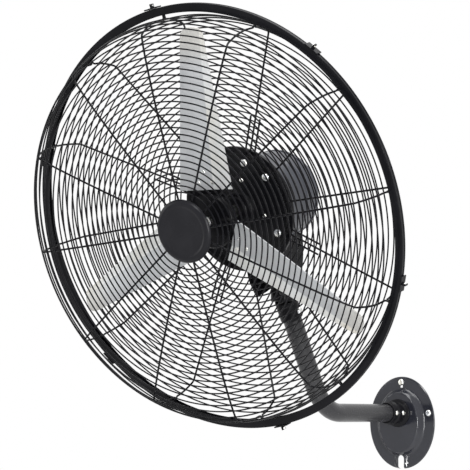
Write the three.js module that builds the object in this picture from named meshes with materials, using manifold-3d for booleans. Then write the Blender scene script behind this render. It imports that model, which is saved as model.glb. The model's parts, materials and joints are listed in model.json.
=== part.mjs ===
// A wall mounted fan: a pressed wall plate, a bent tubular arm, a head that swivels and tilts on it,
// and a three-bladed rotor inside a welded wire cage. Millimetres, +Z up, the wall is the plane y = 0.
import * as THREE from "three";
import { mergeVertices } from "three/addons/utils/BufferGeometryUtils.js";
import Module from "manifold-3d";

// Driving dimensions. In the head, s runs back along the motor axis from the middle of the hub cap.
const headPlace = new THREE.Vector3(0, -780, 356); // middle of the hub cap
const headTilt = THREE.MathUtils.degToRad(17.8); // how far the head looks down
const gap = 0.3; // clearance between neighbouring pieces

const plate = { halfWidth: 81, halfHeight: 99, thick: 3, dishRim: 60, dishTop: 49, dishDepth: 16 };
const arm = { radius: 19, bore: 16.5, axisZ: 20.4, cornerY: -311, slope: 59, bend: 110, topLength: 262 };
const collar = { radius: 22.5, length: 49, bead: 25.5, base: 30 };
const swivelAxisY = -458;
const neckTopZ = 262;
const tiltPivot = new THREE.Vector3(0, swivelAxisY, 292);

const cage = { clipAngles: [46, 97, 159, 220, 280, 340], ribs: 12, ribAngle: 4, wire: 3, ribWidth: 4 };
const frontRings = { first: 74, last: 371, steps: 6, hidden: 50 };
const rearRings = { first: 130, last: 374, steps: 5 };
const band = { inner: 398, outer: 414, front: 91, back: 102, sheet: 1.5, rim: 404, sides: 48 };

const motor = { radius: 88, front: 190.3, back: 350, shell: 3, flangeRadius: 124, flangeThick: 5, sides: 30 };
const shaft = { radius: 9, thread: 5.8, front: 62, back: 338 };
const hub = { radius: 54, front: 80, thick: 10, armReach: 104, armWidth: 62, armThick: 3 };
const blade = { root: 62, tip: 370, rootChord: 104, tipChord: 44, thick: 2, angles: [84, -36, 204] };
const bladePitch = { root: 23, tip: 15 }; // degrees from the plane of rotation
const cap = { radius: 61, face: 54, front: -7, rim: -1, back: 0.4 };

const wasm = await Module();
wasm.setup();

const degrees = THREE.MathUtils.degToRad;

function solidOf(geometry) {
  const bare = geometry.clone();
  bare.deleteAttribute("normal");
  bare.deleteAttribute("uv");
  const merged = mergeVertices(bare, 1e-4);
  const vertProperties = merged.attributes.position.array;
  const triVerts = new Uint32Array(merged.index.array);
  return new wasm.Manifold(new wasm.Mesh({ numProp: 3, vertProperties, triVerts }));
}

function geometryOf(solid) {
  const mesh = solid.getMesh();
  const geometry = new THREE.BufferGeometry();
  geometry.setAttribute("position", new THREE.BufferAttribute(new Float32Array(mesh.vertProperties), 3));
  geometry.setIndex(new THREE.BufferAttribute(new Uint32Array(mesh.triVerts), 1));
  geometry.computeVertexNormals();
  return geometry;
}

// The first geometry with the others cut away.
function cut(body, ...tools) {
  return geometryOf(tools.reduce((left, tool) => left.subtract(solidOf(tool)), solidOf(body)));
}

function join(...pieces) {
  return geometryOf(pieces.slice(1).reduce((sum, piece) => sum.add(solidOf(piece)), solidOf(pieces[0])));
}

// A turned piece about the y axis, from [radius, y] points in either order.
function turned(points, sides = 32) {
  const profile = points.map(([r, y]) => new THREE.Vector2(r, y));
  if (THREE.ShapeUtils.area(profile) < 0) profile.reverse();
  return new THREE.LatheGeometry(profile, sides);
}

// A plain ring or disc about the y axis between two stations.
function ring(inner, outer, from, to, sides = 32) {
  if (inner === 0) return turned([[0, from], [outer, from], [outer, to], [0, to]], sides);
  return turned([[inner, from], [outer, from], [outer, to], [inner, to], [inner, from]], sides);
}

// A round bar with its axis on x, y or z.
function bar(radius, length, axis, sides = 20) {
  const rod = new THREE.CylinderGeometry(radius, radius, length, sides);
  if (axis === "x") rod.rotateZ(-Math.PI / 2);
  if (axis === "z") rod.rotateX(Math.PI / 2);
  return rod;
}

function outline(points) {
  return new THREE.Shape(points.map(([a, b]) => new THREE.Vector2(a, b)));
}

// An outline in the y-z plane, extruded along x and centred on it.
function slabAcross(points, width) {
  const slab = new THREE.ExtrudeGeometry(outline(points), { depth: width, bevelEnabled: false });
  slab.translate(0, 0, -width / 2);
  const turn = new THREE.Matrix4().makeBasis(
    new THREE.Vector3(0, 1, 0),
    new THREE.Vector3(0, 0, 1),
    new THREE.Vector3(1, 0, 0),
  );
  return slab.applyMatrix4(turn);
}

function finish(color, roughness, metalness) {
  return new THREE.MeshStandardMaterial({ color, roughness, metalness });
}

const finishes = {
  blackEnamel: () => finish(0x1b1b1d, 0.35, 0.1),
  blackWire: () => finish(0x17181a, 0.3, 0.1),
  greyTube: () => finish(0x3c3d40, 0.4, 0.2),
  motorPaint: () => finish(0x2a2d33, 0.35, 0.2),
  aluminium: () => finish(0xb9bec2, 0.35, 0.9),
  zinc: () => finish(0xc9ccd0, 0.3, 0.9),
  steel: () => finish(0x8d9094, 0.35, 0.9),
  copper: () => finish(0xa8622f, 0.4, 0.8),
  blackPlastic: () => finish(0x202124, 0.5, 0),
};

const part = new THREE.Group();
const head = new THREE.Group();
head.position.copy(headPlace);
head.rotation.x = headTilt;
part.add(head);

function add(group, name, geometry, material) {
  const mesh = new THREE.Mesh(geometry, material());
  mesh.name = name;
  group.add(mesh);
  return mesh;
}

// A pan-head screw on the y axis: the underside of its head is at y = 0 and the shank runs to +y.
function panScrew(headRadius, headHeight, shankRadius, shankLength) {
  return turned(
    [
      [0, -headHeight],
      [headRadius * 0.6, -headHeight],
      [headRadius, -headHeight * 0.35],
      [headRadius, 0],
      [shankRadius, 0],
      [shankRadius, shankLength],
      [0, shankLength],
    ],
    8,
  );
}

// Wall plate: an oval pressing with a raised dish, three screw holes and a slot at the foot.
const topScrewZ = 87;
const sideScrewX = 67;
const screwHole = 4.6;

function wallPlate() {
  const { halfWidth, halfHeight, thick, dishRim, dishTop, dishDepth } = plate;
  const face = -dishDepth - thick;
  const pressing = turned(
    [
      [0, face],
      [dishTop - 2, face],
      [dishTop + 1, face + 1],
      [dishRim - 1, -thick - 1],
      [dishRim + 2, -thick],
      [halfWidth - 1, -thick],
      [halfWidth, -thick + 1],
      [halfWidth, 0],
      [dishRim, 0],
      [dishTop - 1, -dishDepth],
      [0, -dishDepth],
    ],
    36,
  ).scale(1, 1, halfHeight / halfWidth);
  const depth = 12;
  const hole = (x, z) => bar(screwHole, depth, "y", 12).translate(x, 0, z);
  const keyway = new THREE.BoxGeometry(screwHole * 1.6, depth, 14).translate(0, 0, topScrewZ - 8);
  const footSlot = join(
    new THREE.BoxGeometry(13, depth, 12).translate(0, 0, -82),
    bar(6.5, depth, "y", 12).translate(0, 0, -76),
    bar(6.5, depth, "y", 12).translate(0, 0, -88),
  );
  const sideHoles = [sideScrewX, -sideScrewX].map((x) => hole(x, arm.axisZ));
  return cut(pressing, hole(0, topScrewZ), keyway, footSlot, ...sideHoles);
}

add(part, "wall_plate", wallPlate(), finishes.blackEnamel);
for (const [name, x, z] of [
  ["wall_screw_top", 0, topScrewZ],
  ["wall_screw_right", sideScrewX, arm.axisZ],
  ["wall_screw_left", -sideScrewX, arm.axisZ],
]) {
  const screw = add(part, name, panScrew(7, 4.5, 4, plate.thick), finishes.zinc);
  screw.position.set(x, -plate.thick - gap, z);
}

// Arm: a socket on the plate, and one tube bent up towards the head.
const plateFace = -plate.dishDepth - plate.thick - gap;
const collarMouth = plateFace - collar.length;
const grubScrews = [-34, -60];

function armCollar() {
  const socket = turned(
    [
      [arm.radius + gap, plateFace],
      [collar.base, plateFace],
      [collar.base, plateFace - 3],
      [collar.radius, plateFace - 6],
      [collar.radius, -42],
      [collar.bead, -45],
      [collar.bead, -51],
      [collar.radius, -54],
      [collar.radius, collarMouth],
      [arm.radius + gap, collarMouth],
      [arm.radius + gap, plateFace],
    ],
    20,
  );
  const holes = grubScrews.map((y) => bar(3.3, 12, "x", 8).translate(collar.radius, y, 0));
  return cut(socket, ...holes).translate(0, 0, arm.axisZ);
}

const legDirection = new THREE.Vector3(0, -Math.cos(degrees(arm.slope)), Math.sin(degrees(arm.slope)));
const armCorner = new THREE.Vector3(0, arm.cornerY, arm.axisZ);
const alongLeg = (length) => armCorner.clone().addScaledVector(legDirection, length);

// The centre line: level out of the wall, round the bend, then straight up the slope.
class ArmLine extends THREE.Curve {
  getPoint(t, target = new THREE.Vector3()) {
    const start = plateFace - gap;
    const turn = degrees(arm.slope);
    const lead = arm.bend * Math.tan(turn / 2);
    const level = start - (arm.cornerY + lead);
    const arc = arm.bend * turn;
    const distance = t * (level + arc + arm.topLength - lead);
    if (distance <= level) return target.set(0, start - distance, arm.axisZ);
    if (distance >= level + arc) return target.copy(alongLeg(lead + distance - level - arc));
    const angle = (distance - level) / arm.bend;
    const y = arm.cornerY + lead - arm.bend * Math.sin(angle);
    return target.set(0, y, arm.axisZ + arm.bend * (1 - Math.cos(angle)));
  }
}

function armTube() {
  const section = new THREE.Shape().absarc(0, 0, arm.radius, 0, Math.PI * 2);
  section.holes.push(new THREE.Path().absarc(0, 0, arm.bore, 0, Math.PI * 2, true));
  const settings = { extrudePath: new ArmLine(), steps: 17, curveSegments: 7, bevelEnabled: false };
  return new THREE.ExtrudeGeometry(section, settings);
}

// A bar whose axis runs up the sloping leg between two lengths from the corner.
function legBar(radius, from, to, sides = 20) {
  const rod = new THREE.CylinderGeometry(radius, radius, to - from, sides);
  rod.applyQuaternion(new THREE.Quaternion().setFromUnitVectors(new THREE.Vector3(0, 1, 0), legDirection));
  return rod.translate(...alongLeg((from + to) / 2).toArray());
}

const neck = { radius: 23, from: 220, stud: 6.3, studFloor: 247, boltAt: 236, bolt: 4 };

function neckSocket() {
  const boss = bar(neck.radius, 22, "z", 20).translate(0, swivelAxisY, neckTopZ - 11);
  const sleeve = legBar(neck.radius, neck.from, arm.topLength + 4);
  const bore = legBar(arm.radius + gap, neck.from - 10, arm.topLength + gap);
  const studHole = bar(neck.stud, 30, "z", 12).translate(0, swivelAxisY, neck.studFloor + 15);
  const topTrim = new THREE.BoxGeometry(80, 80, 20).translate(0, swivelAxisY, neckTopZ + 10);
  const boltPlace = alongLeg(neck.boltAt);
  const boltHole = bar(neck.bolt + gap, 12, "x", 8).translate(neck.radius, boltPlace.y, boltPlace.z);
  return cut(join(boss, sleeve), bore, studHole, topTrim, boltHole);
}

add(part, "arm_collar", armCollar(), finishes.blackEnamel);
add(part, "arm_tube", armTube(), finishes.greyTube);
add(part, "neck_socket", neckSocket(), finishes.blackEnamel);
grubScrews.forEach((y, i) => {
  const screw = add(part, `collar_screw_${i + 1}`, panScrew(5, 3, 3, 2.6), finishes.zinc);
  screw.rotation.z = Math.PI / 2;
  screw.position.set(collar.radius + gap, y, arm.axisZ);
});
const neckBolt = add(part, "neck_bolt", panScrew(7, 5, neck.bolt, 3), finishes.zinc);
neckBolt.rotation.z = Math.PI / 2;
neckBolt.position.copy(alongLeg(neck.boltAt)).setX(neck.radius + gap);

// Swivel knuckle: a foot that turns on the neck, a column, and a barrel for the tilt bolt.
const knuckle = { foot: 23, column: 18, barrel: 17, width: 54, bolt: 6, studTop: 274 };

function swivelKnuckle() {
  const foot = bar(knuckle.foot, 6, "z", 20).translate(0, swivelAxisY, neckTopZ + gap + 3);
  const columnHeight = tiltPivot.z - neckTopZ - 1;
  const column = bar(knuckle.column, columnHeight, "z", 20);
  column.translate(0, swivelAxisY, neckTopZ + 1 + columnHeight / 2);
  const barrel = bar(knuckle.barrel, knuckle.width, "x", 20).translate(...tiltPivot.toArray());
  const boltHole = bar(knuckle.bolt + gap, knuckle.width + 4, "x", 12).translate(...tiltPivot.toArray());
  const studDepth = knuckle.studTop - neckTopZ;
  const studHole = bar(neck.stud, studDepth * 2, "z", 12).translate(0, swivelAxisY, neckTopZ);
  return cut(join(foot, column, barrel), boltHole, studHole);
}

add(part, "swivel_knuckle", swivelKnuckle(), finishes.blackEnamel);
const studLength = knuckle.studTop - neck.studFloor - 2 * gap;
const stud = bar(neck.stud - gap, studLength, "z", 12);
stud.translate(0, swivelAxisY, (knuckle.studTop + neck.studFloor) / 2);
add(part, "swivel_stud", stud, finishes.zinc);

// Places in the head that are set from the tilt pivot.
head.updateMatrixWorld(true);
const pivotInHead = head.worldToLocal(tiltPivot.clone());

// Tilt bracket: a channel under the motor whose two cheeks straddle the knuckle.
const cheek = { inner: knuckle.width / 2 + gap, outer: knuckle.width / 2 + gap + 3, low: -186 };

function tiltBracket() {
  const saddle = motor.radius + gap + 3;
  const top = -Math.sqrt(saddle ** 2 - cheek.outer ** 2);
  const side = slabAcross(
    [
      [214, top + 12],
      [214, -150],
      [228, cheek.low],
      [258, cheek.low],
      [300, -180],
      [312, -158],
      [340, top + 12],
    ],
    cheek.outer * 2,
  );
  const between = new THREE.BoxGeometry(cheek.inner * 2, 200, 200).translate(0, 280, -saddle - 100);
  const seat = ring(0, motor.radius + gap, 180, 360, motor.sides);
  const boltHole = bar(knuckle.bolt + gap, 80, "x", 12).translate(...pivotInHead.toArray());
  return cut(side, between, seat, boltHole);
}

function tiltBolt() {
  const shank = cheek.outer * 2 + 16;
  const bolt = join(
    bar(knuckle.bolt, shank, "x", 12).translate(-6, 0, 0),
    bar(10, 6, "x", 6).translate(cheek.outer + gap + 3, 0, 0),
  );
  return bolt.translate(...pivotInHead.toArray());
}

function tiltKnob() {
  const place = -cheek.outer - gap;
  const body = bar(13, 10, "x", 20).translate(place - 7, 0, 0);
  const boss = bar(9, 3, "x").translate(place - 1.5, 0, 0);
  const lobes = [0, 1, 2, 3, 4].map((i) => {
    const angle = (i * Math.PI * 2) / 5;
    return bar(5.5, 10, "x", 10).translate(place - 7, 12 * Math.cos(angle), 12 * Math.sin(angle));
  });
  const bore = bar(knuckle.bolt + gap, 40, "x", 12).translate(place, 0, 0);
  return cut(join(body, boss, ...lobes), bore).translate(...pivotInHead.toArray());
}

add(head, "tilt_bracket", tiltBracket(), finishes.blackEnamel);
add(head, "tilt_bolt", tiltBolt(), finishes.zinc);
add(head, "tilt_knob", tiltKnob(), finishes.blackPlastic);

// Motor: front flange, shell, rear bell, stator and its windings, bearings, capacitor box.
const flangeBack = motor.front - gap;
const flangeFront = flangeBack - motor.flangeThick;
const flangeScrews = { radius: 95, angles: [71, 38, -33, 218] };
const bearing = { outer: 20, width: 12, front: 171, back: 322 };
const bellFront = 326;

function aroundAxis(radius, angle, s) {
  return [radius * Math.cos(degrees(angle)), s, radius * Math.sin(degrees(angle))];
}

function motorFlange() {
  const noseInner = bearing.outer + gap;
  const disc = turned(
    [
      [shaft.radius + 3, 164],
      [27, 164],
      [30, 167],
      [31, flangeFront - 4],
      [36, flangeFront],
      [108, flangeFront],
      [111, flangeFront - 3],
      [motor.flangeRadius, flangeFront - 3],
      [motor.flangeRadius, flangeBack],
      [noseInner, flangeBack],
      [noseInner, 168],
      [shaft.radius + 3, 168],
      [shaft.radius + 3, 164],
    ],
    motor.sides,
  );
  const holes = flangeScrews.angles.map((angle) =>
    bar(3.4, 30, "y", 8).translate(...aroundAxis(flangeScrews.radius, angle, flangeBack)),
  );
  return cut(disc, ...holes);
}

function motorShell() {
  return ring(motor.radius - motor.shell, motor.radius, motor.front, bellFront - gap, motor.sides);
}

function rearBell() {
  const pocket = bearing.outer + gap;
  return turned(
    [
      [0, motor.back - 12],
      [pocket, motor.back - 12],
      [pocket, bellFront - 6],
      [pocket + 4, bellFront - 6],
      [pocket + 4, motor.back - 8],
      [70, motor.back - 8],
      [motor.radius - 5, motor.back - 16],
      [motor.radius - 4, bellFront],
      [motor.radius, bellFront],
      [motor.radius, motor.back - 17],
      [85, motor.back - 9],
      [76, motor.back - 3],
      [40, motor.back],
      [0, motor.back],
    ],
    motor.sides,
  );
}

const core = { front: 238, back: 286, stator: 82, bore: 50.3, rotor: 49.5, sides: 28 };

add(head, "motor_flange", motorFlange(), finishes.blackEnamel);
add(head, "motor_shell", motorShell(), finishes.motorPaint);
add(head, "motor_rear_bell", rearBell(), finishes.motorPaint);
const winding = { inner: 55, outer: 75, length: 15 };
const windingFront = [core.front - winding.length, core.front - gap];
const windingRear = [core.back + gap, core.back + winding.length];
add(head, "stator_core", ring(core.bore, core.stator, core.front, core.back, core.sides), finishes.steel);
for (const [name, [from, to]] of [["winding_front", windingFront], ["winding_rear", windingRear]]) {
  add(head, name, ring(winding.inner, winding.outer, from, to, core.sides), finishes.copper);
}
for (const [name, s] of [["bearing_front", bearing.front], ["bearing_rear", bearing.back]]) {
  add(head, name, ring(shaft.radius + gap, bearing.outer, s, s + bearing.width, 20), finishes.steel);
}
flangeScrews.angles.forEach((angle, i) => {
  const screw = add(head, `flange_screw_${i + 1}`, panScrew(8, 5, 3, 6), finishes.zinc);
  screw.position.set(...aroundAxis(flangeScrews.radius, angle, flangeFront - gap));
});

// Capacitor box: a tray saddled on the left of the motor, its lid and two screws, the capacitor inside,
// and a gland in its rear wall where the supply lead would enter.
const box = { from: 236, length: 64, height: 46, floor: 92, mouth: 118, wall: 2.5, lid: 2 };
const boxMiddle = box.from + box.length / 2;
const lidFace = -box.mouth - gap - box.lid;
const lidScrews = [box.from + 6, box.from + box.length - 6];
const gland = { radius: 7, hex: 9.5, bore: 4, length: 16 };

// A block between two distances to the left of the axis, centred on the middle of the box.
function blockLeft(near, far, length, height) {
  const block = new THREE.BoxGeometry(far - near, length, height);
  return block.translate(-(near + far) / 2, boxMiddle, 0);
}

function capacitorBox() {
  const { length, height, floor, mouth, wall } = box;
  const hollow = blockLeft(floor, mouth + 1, length - 2 * wall, height - 2 * wall);
  const seat = ring(0, motor.radius + gap, 180, 360, motor.sides * 2);
  const entry = bar(gland.bore, 12, "y", 12).translate(-(floor + mouth) / 2, box.from + length, 0);
  return cut(blockLeft(70, mouth, length, height), seat, hollow, entry);
}

function capacitorLid() {
  const lid = blockLeft(box.mouth + gap, -lidFace, box.length, box.height);
  return cut(lid, ...lidScrews.map((s) => bar(2.3, 12, "x", 8).translate(lidFace, s, 0)));
}

function cableGland() {
  const tube = bar(gland.radius, gland.length, "y", 16).translate(0, gland.length / 2, 0);
  const hex = bar(gland.hex, 6, "y", 6).translate(0, 3, 0);
  const bore = bar(gland.bore, gland.length * 3, "y", 12);
  const place = [-(box.floor + box.mouth) / 2, box.from + box.length + gap, 0];
  return cut(join(tube, hex), bore).translate(...place);
}

add(head, "capacitor_box", capacitorBox(), finishes.blackPlastic);
add(head, "capacitor", blockLeft(box.floor + 2, box.mouth - 3, 36, 32), finishes.blackPlastic);
add(head, "capacitor_box_lid", capacitorLid(), finishes.blackPlastic);
add(head, "cable_gland", cableGland(), finishes.blackPlastic);
lidScrews.forEach((s, i) => {
  const screw = add(head, `lid_screw_${i + 1}`, panScrew(4.5, 3, 2, 5), finishes.zinc);
  screw.rotation.z = -Math.PI / 2;
  screw.position.set(lidFace - gap, s, 0);
});

// Cage: both guards are rings of wire welded to twelve ribs. The stations run [radius, s], and one
// marked bare has only the ribs. The ribs turn out into the hoop behind its lip.
const bare = true;
const rimInset = band.sheet + cage.wire / 2 + 0.25;

// Radii from the first ring to the last in equal steps.
function spaced({ first, last, steps }) {
  return Array.from({ length: steps + 1 }, (_, i) => first + ((last - first) * i) / steps);
}

function frontStations() {
  const dome = (r) => 2 + 3 * (r / 400) ** 2 + 12 * (r / 400) ** 6;
  const stations = [[frontRings.hidden, dome(frontRings.hidden), bare]];
  for (const r of spaced(frontRings)) stations.push([r, dome(r)]);
  const rimAlong = band.front + rimInset;
  stations.push([384, 36], [390.5, 60], [391, rimAlong, bare], [band.rim, rimAlong]);
  return stations;
}

function rearStations() {
  const { first, last } = rearRings;
  const cone = spaced(rearRings).map((r) => [r, 181 - (27 * (r - first)) / (last - first)]);
  const rimAlong = band.back - rimInset;
  return [...cone, [383, 136], [389.5, 116], [391, rimAlong, bare], [band.rim, rimAlong]];
}

// One closed lattice. Every station is a ring of square wire, and each rib joins a station to the next.
function wireLattice(stations) {
  const positions = [];
  const index = [];
  const half = cage.wire / 2;
  const ribHalf = cage.ribWidth / 2;
  const corners = [[-1, -1], [1, -1], [1, 1], [-1, 1]];
  const quad = (a, b, c, d) => index.push(a, b, c, a, c, d);
  const sides = (from, to, skip = []) => {
    for (let c = 0; c < 4; c++) {
      if (!skip.includes(c)) quad(from[c], from[(c + 1) % 4], to[(c + 1) % 4], to[c]);
    }
  };

  const section = (k, angle, aside) => {
    const [r, s] = stations[k];
    const before = stations[Math.max(k - 1, 0)];
    const after = stations[Math.min(k + 1, stations.length - 1)];
    const along = new THREE.Vector2(after[0] - before[0], after[1] - before[1]).normalize();
    return corners.map(([p, n]) => {
      const radius = r + half * (p * along.x - n * along.y);
      const x = radius * Math.cos(angle) - aside * Math.sin(angle);
      const z = radius * Math.sin(angle) + aside * Math.cos(angle);
      positions.push(x, s + half * (p * along.y + n * along.x), z);
      return positions.length / 3 - 1;
    });
  };

  const ribTurn = (Math.PI * 2) / cage.ribs;
  const angles = Array.from({ length: cage.ribs }, (_, j) => degrees(cage.ribAngle) + j * ribTurn);
  const last = stations.length - 1;
  const nodes = stations.map((_, k) =>
    angles.map((angle) => ({ low: section(k, angle, -ribHalf), high: section(k, angle, ribHalf) })),
  );
  nodes.forEach((row, k) => {
    const arcSteps = stations[k][0] < 130 ? 1 : 2;
    row.forEach((node, j) => {
      sides(node.low, node.high, [...(k < last ? [1] : []), ...(k > 0 ? [3] : [])]);
      if (stations[k][2] === bare) {
        quad(...node.low.toReversed());
        quad(...node.high);
      } else {
        let from = node.high;
        for (let step = 1; step < arcSteps; step++) {
          const to = section(k, angles[j] + (step * ribTurn) / arcSteps, 0);
          sides(from, to);
          from = to;
        }
        sides(from, row[(j + 1) % cage.ribs].low);
      }
      if (k === last) return;
      const next = nodes[k + 1][j];
      sides(
        [node.low[1], node.low[2], node.high[2], node.high[1]],
        [next.low[0], next.low[3], next.high[3], next.high[0]],
      );
    });
  });
  const geometry = new THREE.BufferGeometry();
  geometry.setAttribute("position", new THREE.Float32BufferAttribute(positions, 3));
  geometry.setIndex(index);
  geometry.computeVertexNormals();
  return geometry;
}

// The hoop is a channel of sheet, open towards the axis, that holds the outer wires of both guards.
function guardBand() {
  const { inner, outer, front, back, sheet } = band;
  return turned(
    [
      [inner, front],
      [outer - 1, front],
      [outer, front + 1],
      [outer, back - 1],
      [outer - 1, back],
      [inner, back],
      [inner, back - sheet],
      [outer - sheet, back - sheet],
      [outer - sheet, front + sheet],
      [inner, front + sheet],
      [inner, front],
    ],
    band.sides,
  );
}

add(head, "front_guard", wireLattice(frontStations()), finishes.blackWire);
add(head, "rear_guard", wireLattice(rearStations()), finishes.blackWire);
add(head, "guard_band", guardBand(), finishes.blackWire);

// A clip: a saddle over the hoop with an upright ear, and the screw through the ear.
const clip = { width: 30, wrap: 2.5, ear: 10, screw: 3.4 };
const clipScrewRadius = band.outer + gap + clip.ear - clip.screw - 0.2;

function bandClip() {
  const { outer, front, back } = band;
  const over = outer + gap;
  const saddle = new THREE.BoxGeometry(clip.wrap, back - front + 6, clip.width);
  saddle.translate(over + clip.wrap / 2, (front + back) / 2, 0);
  const ear = new THREE.BoxGeometry(clip.ear, back - front, 3);
  ear.translate(over + clip.ear / 2, (front + back) / 2, 0);
  const hoop = ring(0, over, front - 10, back + 10, band.sides * 4);
  const hole = bar(2.1, 20, "z", 8).translate(clipScrewRadius, (front + back) / 2, 0);
  return cut(join(saddle, ear), hoop, hole);
}

cage.clipAngles.forEach((angle, i) => {
  add(head, `band_clip_${i + 1}`, bandClip(), finishes.blackWire).rotation.y = -degrees(angle);
  const screw = add(head, `clip_screw_${i + 1}`, panScrew(clip.screw, 2.4, 1.7, 5), finishes.zinc);
  const across = new THREE.Vector3(Math.sin(degrees(angle)), 0, -Math.cos(degrees(angle)));
  screw.quaternion.setFromUnitVectors(new THREE.Vector3(0, 1, 0), across);
  screw.position.set(...aroundAxis(clipScrewRadius, angle, (band.front + band.back) / 2));
  screw.position.addScaledVector(across, -1.5 - gap);
});

// Hub cap in front of the wires and the clamp plate behind them.
function hubCap() {
  return turned(
    [
      [0, cap.front],
      [cap.face, cap.front],
      [cap.face + 4, cap.front + 2],
      [cap.radius, cap.rim],
      [cap.radius, cap.back],
      [0, cap.back],
    ],
    36,
  );
}

add(head, "hub_cap", hubCap(), finishes.blackPlastic);
add(head, "cap_plate", ring(0, 56, 4, 6.5, 28), finishes.blackEnamel);

// Rotor: shaft, core, hub with three arms, blades, rivets and the nut.
function motorShaft() {
  return turned(
    [
      [0, shaft.front],
      [shaft.thread, shaft.front],
      [shaft.thread, hub.front + 2],
      [shaft.radius - gap, hub.front + 2],
      [shaft.radius - gap, shaft.back - gap],
      [0, shaft.back - gap],
    ],
    20,
  );
}

const pitchAt = (r) => {
  const share = (r - blade.root) / (blade.tip - blade.root);
  return degrees(bladePitch.root + (bladePitch.tip - bladePitch.root) * share);
};

// A sheet that follows the blade's pitch: sections across the chord at each radius, for a blade on +x.
function pitchedSheet(radii, edges, thick, offset) {
  const positions = [];
  const index = [];
  const count = 2 * edges(radii[0]).length;
  for (const r of radii) {
    const pitch = pitchAt(r);
    const line = edges(r);
    const under = line.map(([c, d]) => [c, d + offset]);
    const over = line.toReversed().map(([c, d]) => [c, d + offset + thick]);
    for (const [c, d] of [...under, ...over]) {
      const s = hub.front + 5 - c * Math.sin(pitch) + d * Math.cos(pitch);
      positions.push(r, s, c * Math.cos(pitch) + d * Math.sin(pitch));
    }
  }
  const last = (radii.length - 1) * count;
  for (let k = 0; k < radii.length - 1; k++) {
    for (let c = 0; c < count; c++) {
      const [a, b] = [k * count + c, k * count + ((c + 1) % count)];
      index.push(a, b + count, b, a, a + count, b + count);
    }
  }
  for (let c = 0; c < count / 2 - 1; c++) {
    const d = count - 1 - c;
    index.push(c, c + 1, d, d, c + 1, d - 1);
    index.push(last + c, last + d, last + c + 1, last + d, last + d - 1, last + c + 1);
  }
  const geometry = new THREE.BufferGeometry();
  geometry.setAttribute("position", new THREE.Float32BufferAttribute(positions, 3));
  geometry.setIndex(index);
  geometry.computeVertexNormals();
  return geometry;
}

// Chord line of a blade at a radius: a flat leading lip, then a gently cambered main sheet.
function bladeChord(r) {
  const share = (r - blade.root) / (blade.tip - blade.root);
  const chord = blade.rootChord + (blade.tipChord - blade.rootChord) * share;
  const camber = chord * 0.06;
  return [
    [-0.5, 0.1],
    [-0.3, -0.5],
    [0, -1],
    [0.28, -0.6],
    [0.5, 0],
  ].map(([c, d]) => [c * chord, d * camber]);
}

const rivets = [[76, 18], [92, -14]];

function rivetPlace(r, c) {
  const pitch = pitchAt(r);
  return new THREE.Vector3(r, hub.front + 5 - c * Math.sin(pitch), c * Math.cos(pitch));
}

function rivetTool([r, c], radius, length) {
  const pin = new THREE.CylinderGeometry(radius, radius, length, 10);
  pin.rotateX(pitchAt(r));
  return pin.translate(...rivetPlace(r, c).toArray());
}

const bladeTurn = (angle) => new THREE.Matrix4().makeRotationY(-degrees(angle));

function fanBlade() {
  const radii = spaced({ first: blade.root, last: blade.tip, steps: 6 });
  const sheet = pitchedSheet(radii, bladeChord, blade.thick, -blade.thick - gap);
  return cut(sheet, ...rivets.map((place) => rivetTool(place, 3.4, 30)));
}

function bladeHub() {
  const half = hub.armWidth / 2;
  const armLine = () => [-half, -half / 2, 0, half / 2, half].map((c) => [c, 0]);
  const arms = blade.angles.map((angle) => {
    const sheet = pitchedSheet([30, 60, hub.armReach], armLine, hub.armThick, 6);
    return cut(sheet, ...rivets.map((place) => rivetTool(place, 3.4, 60))).applyMatrix4(bladeTurn(angle));
  });
  const disc = turned(
    [
      [0, hub.front],
      [hub.radius - 3, hub.front],
      [hub.radius, hub.front + 3],
      [hub.radius, hub.front + hub.thick + 6],
      [20, hub.front + hub.thick + 6],
      [18, hub.front + 42],
      [0, hub.front + 42],
    ],
    24,
  );
  return cut(join(disc, ...arms), ring(0, shaft.radius + gap, hub.front - 4, hub.front + 60, 20));
}

function hubNut() {
  return cut(bar(11, 9, "y", 6), bar(shaft.thread + gap, 12, "y", 12)).translate(0, hub.front - 4.5 - gap, 0);
}

add(head, "motor_shaft", motorShaft(), finishes.steel);
const rotorCore = ring(shaft.radius + gap, core.rotor, core.front, core.back, core.sides);
add(head, "rotor_core", rotorCore, finishes.steel);
add(head, "blade_hub", bladeHub(), finishes.blackEnamel);
add(head, "hub_nut", hubNut(), finishes.zinc);
blade.angles.forEach((angle, i) => {
  add(head, `blade_${i + 1}`, fanBlade(), finishes.aluminium).rotation.y = -degrees(angle);
});

export default part;
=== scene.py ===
# A wall mounted fan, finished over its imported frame. Forms are worked out in millimetres.
import json
import math

import bmesh
import bpy
from mathutils import Matrix, Vector


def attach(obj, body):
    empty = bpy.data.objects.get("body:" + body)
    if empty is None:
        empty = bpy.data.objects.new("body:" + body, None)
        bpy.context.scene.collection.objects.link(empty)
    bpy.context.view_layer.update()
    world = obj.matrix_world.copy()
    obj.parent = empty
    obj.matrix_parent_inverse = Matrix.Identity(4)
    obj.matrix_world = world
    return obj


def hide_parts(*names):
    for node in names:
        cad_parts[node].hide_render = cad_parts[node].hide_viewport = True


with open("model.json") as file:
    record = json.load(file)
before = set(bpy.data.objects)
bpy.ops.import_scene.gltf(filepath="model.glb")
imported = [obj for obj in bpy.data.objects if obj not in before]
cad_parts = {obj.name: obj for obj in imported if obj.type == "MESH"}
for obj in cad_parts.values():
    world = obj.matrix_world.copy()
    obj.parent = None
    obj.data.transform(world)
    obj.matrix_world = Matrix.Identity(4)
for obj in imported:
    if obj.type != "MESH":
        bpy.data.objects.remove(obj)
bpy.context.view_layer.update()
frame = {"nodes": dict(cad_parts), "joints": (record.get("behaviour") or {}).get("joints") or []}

print("frame loaded")

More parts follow.
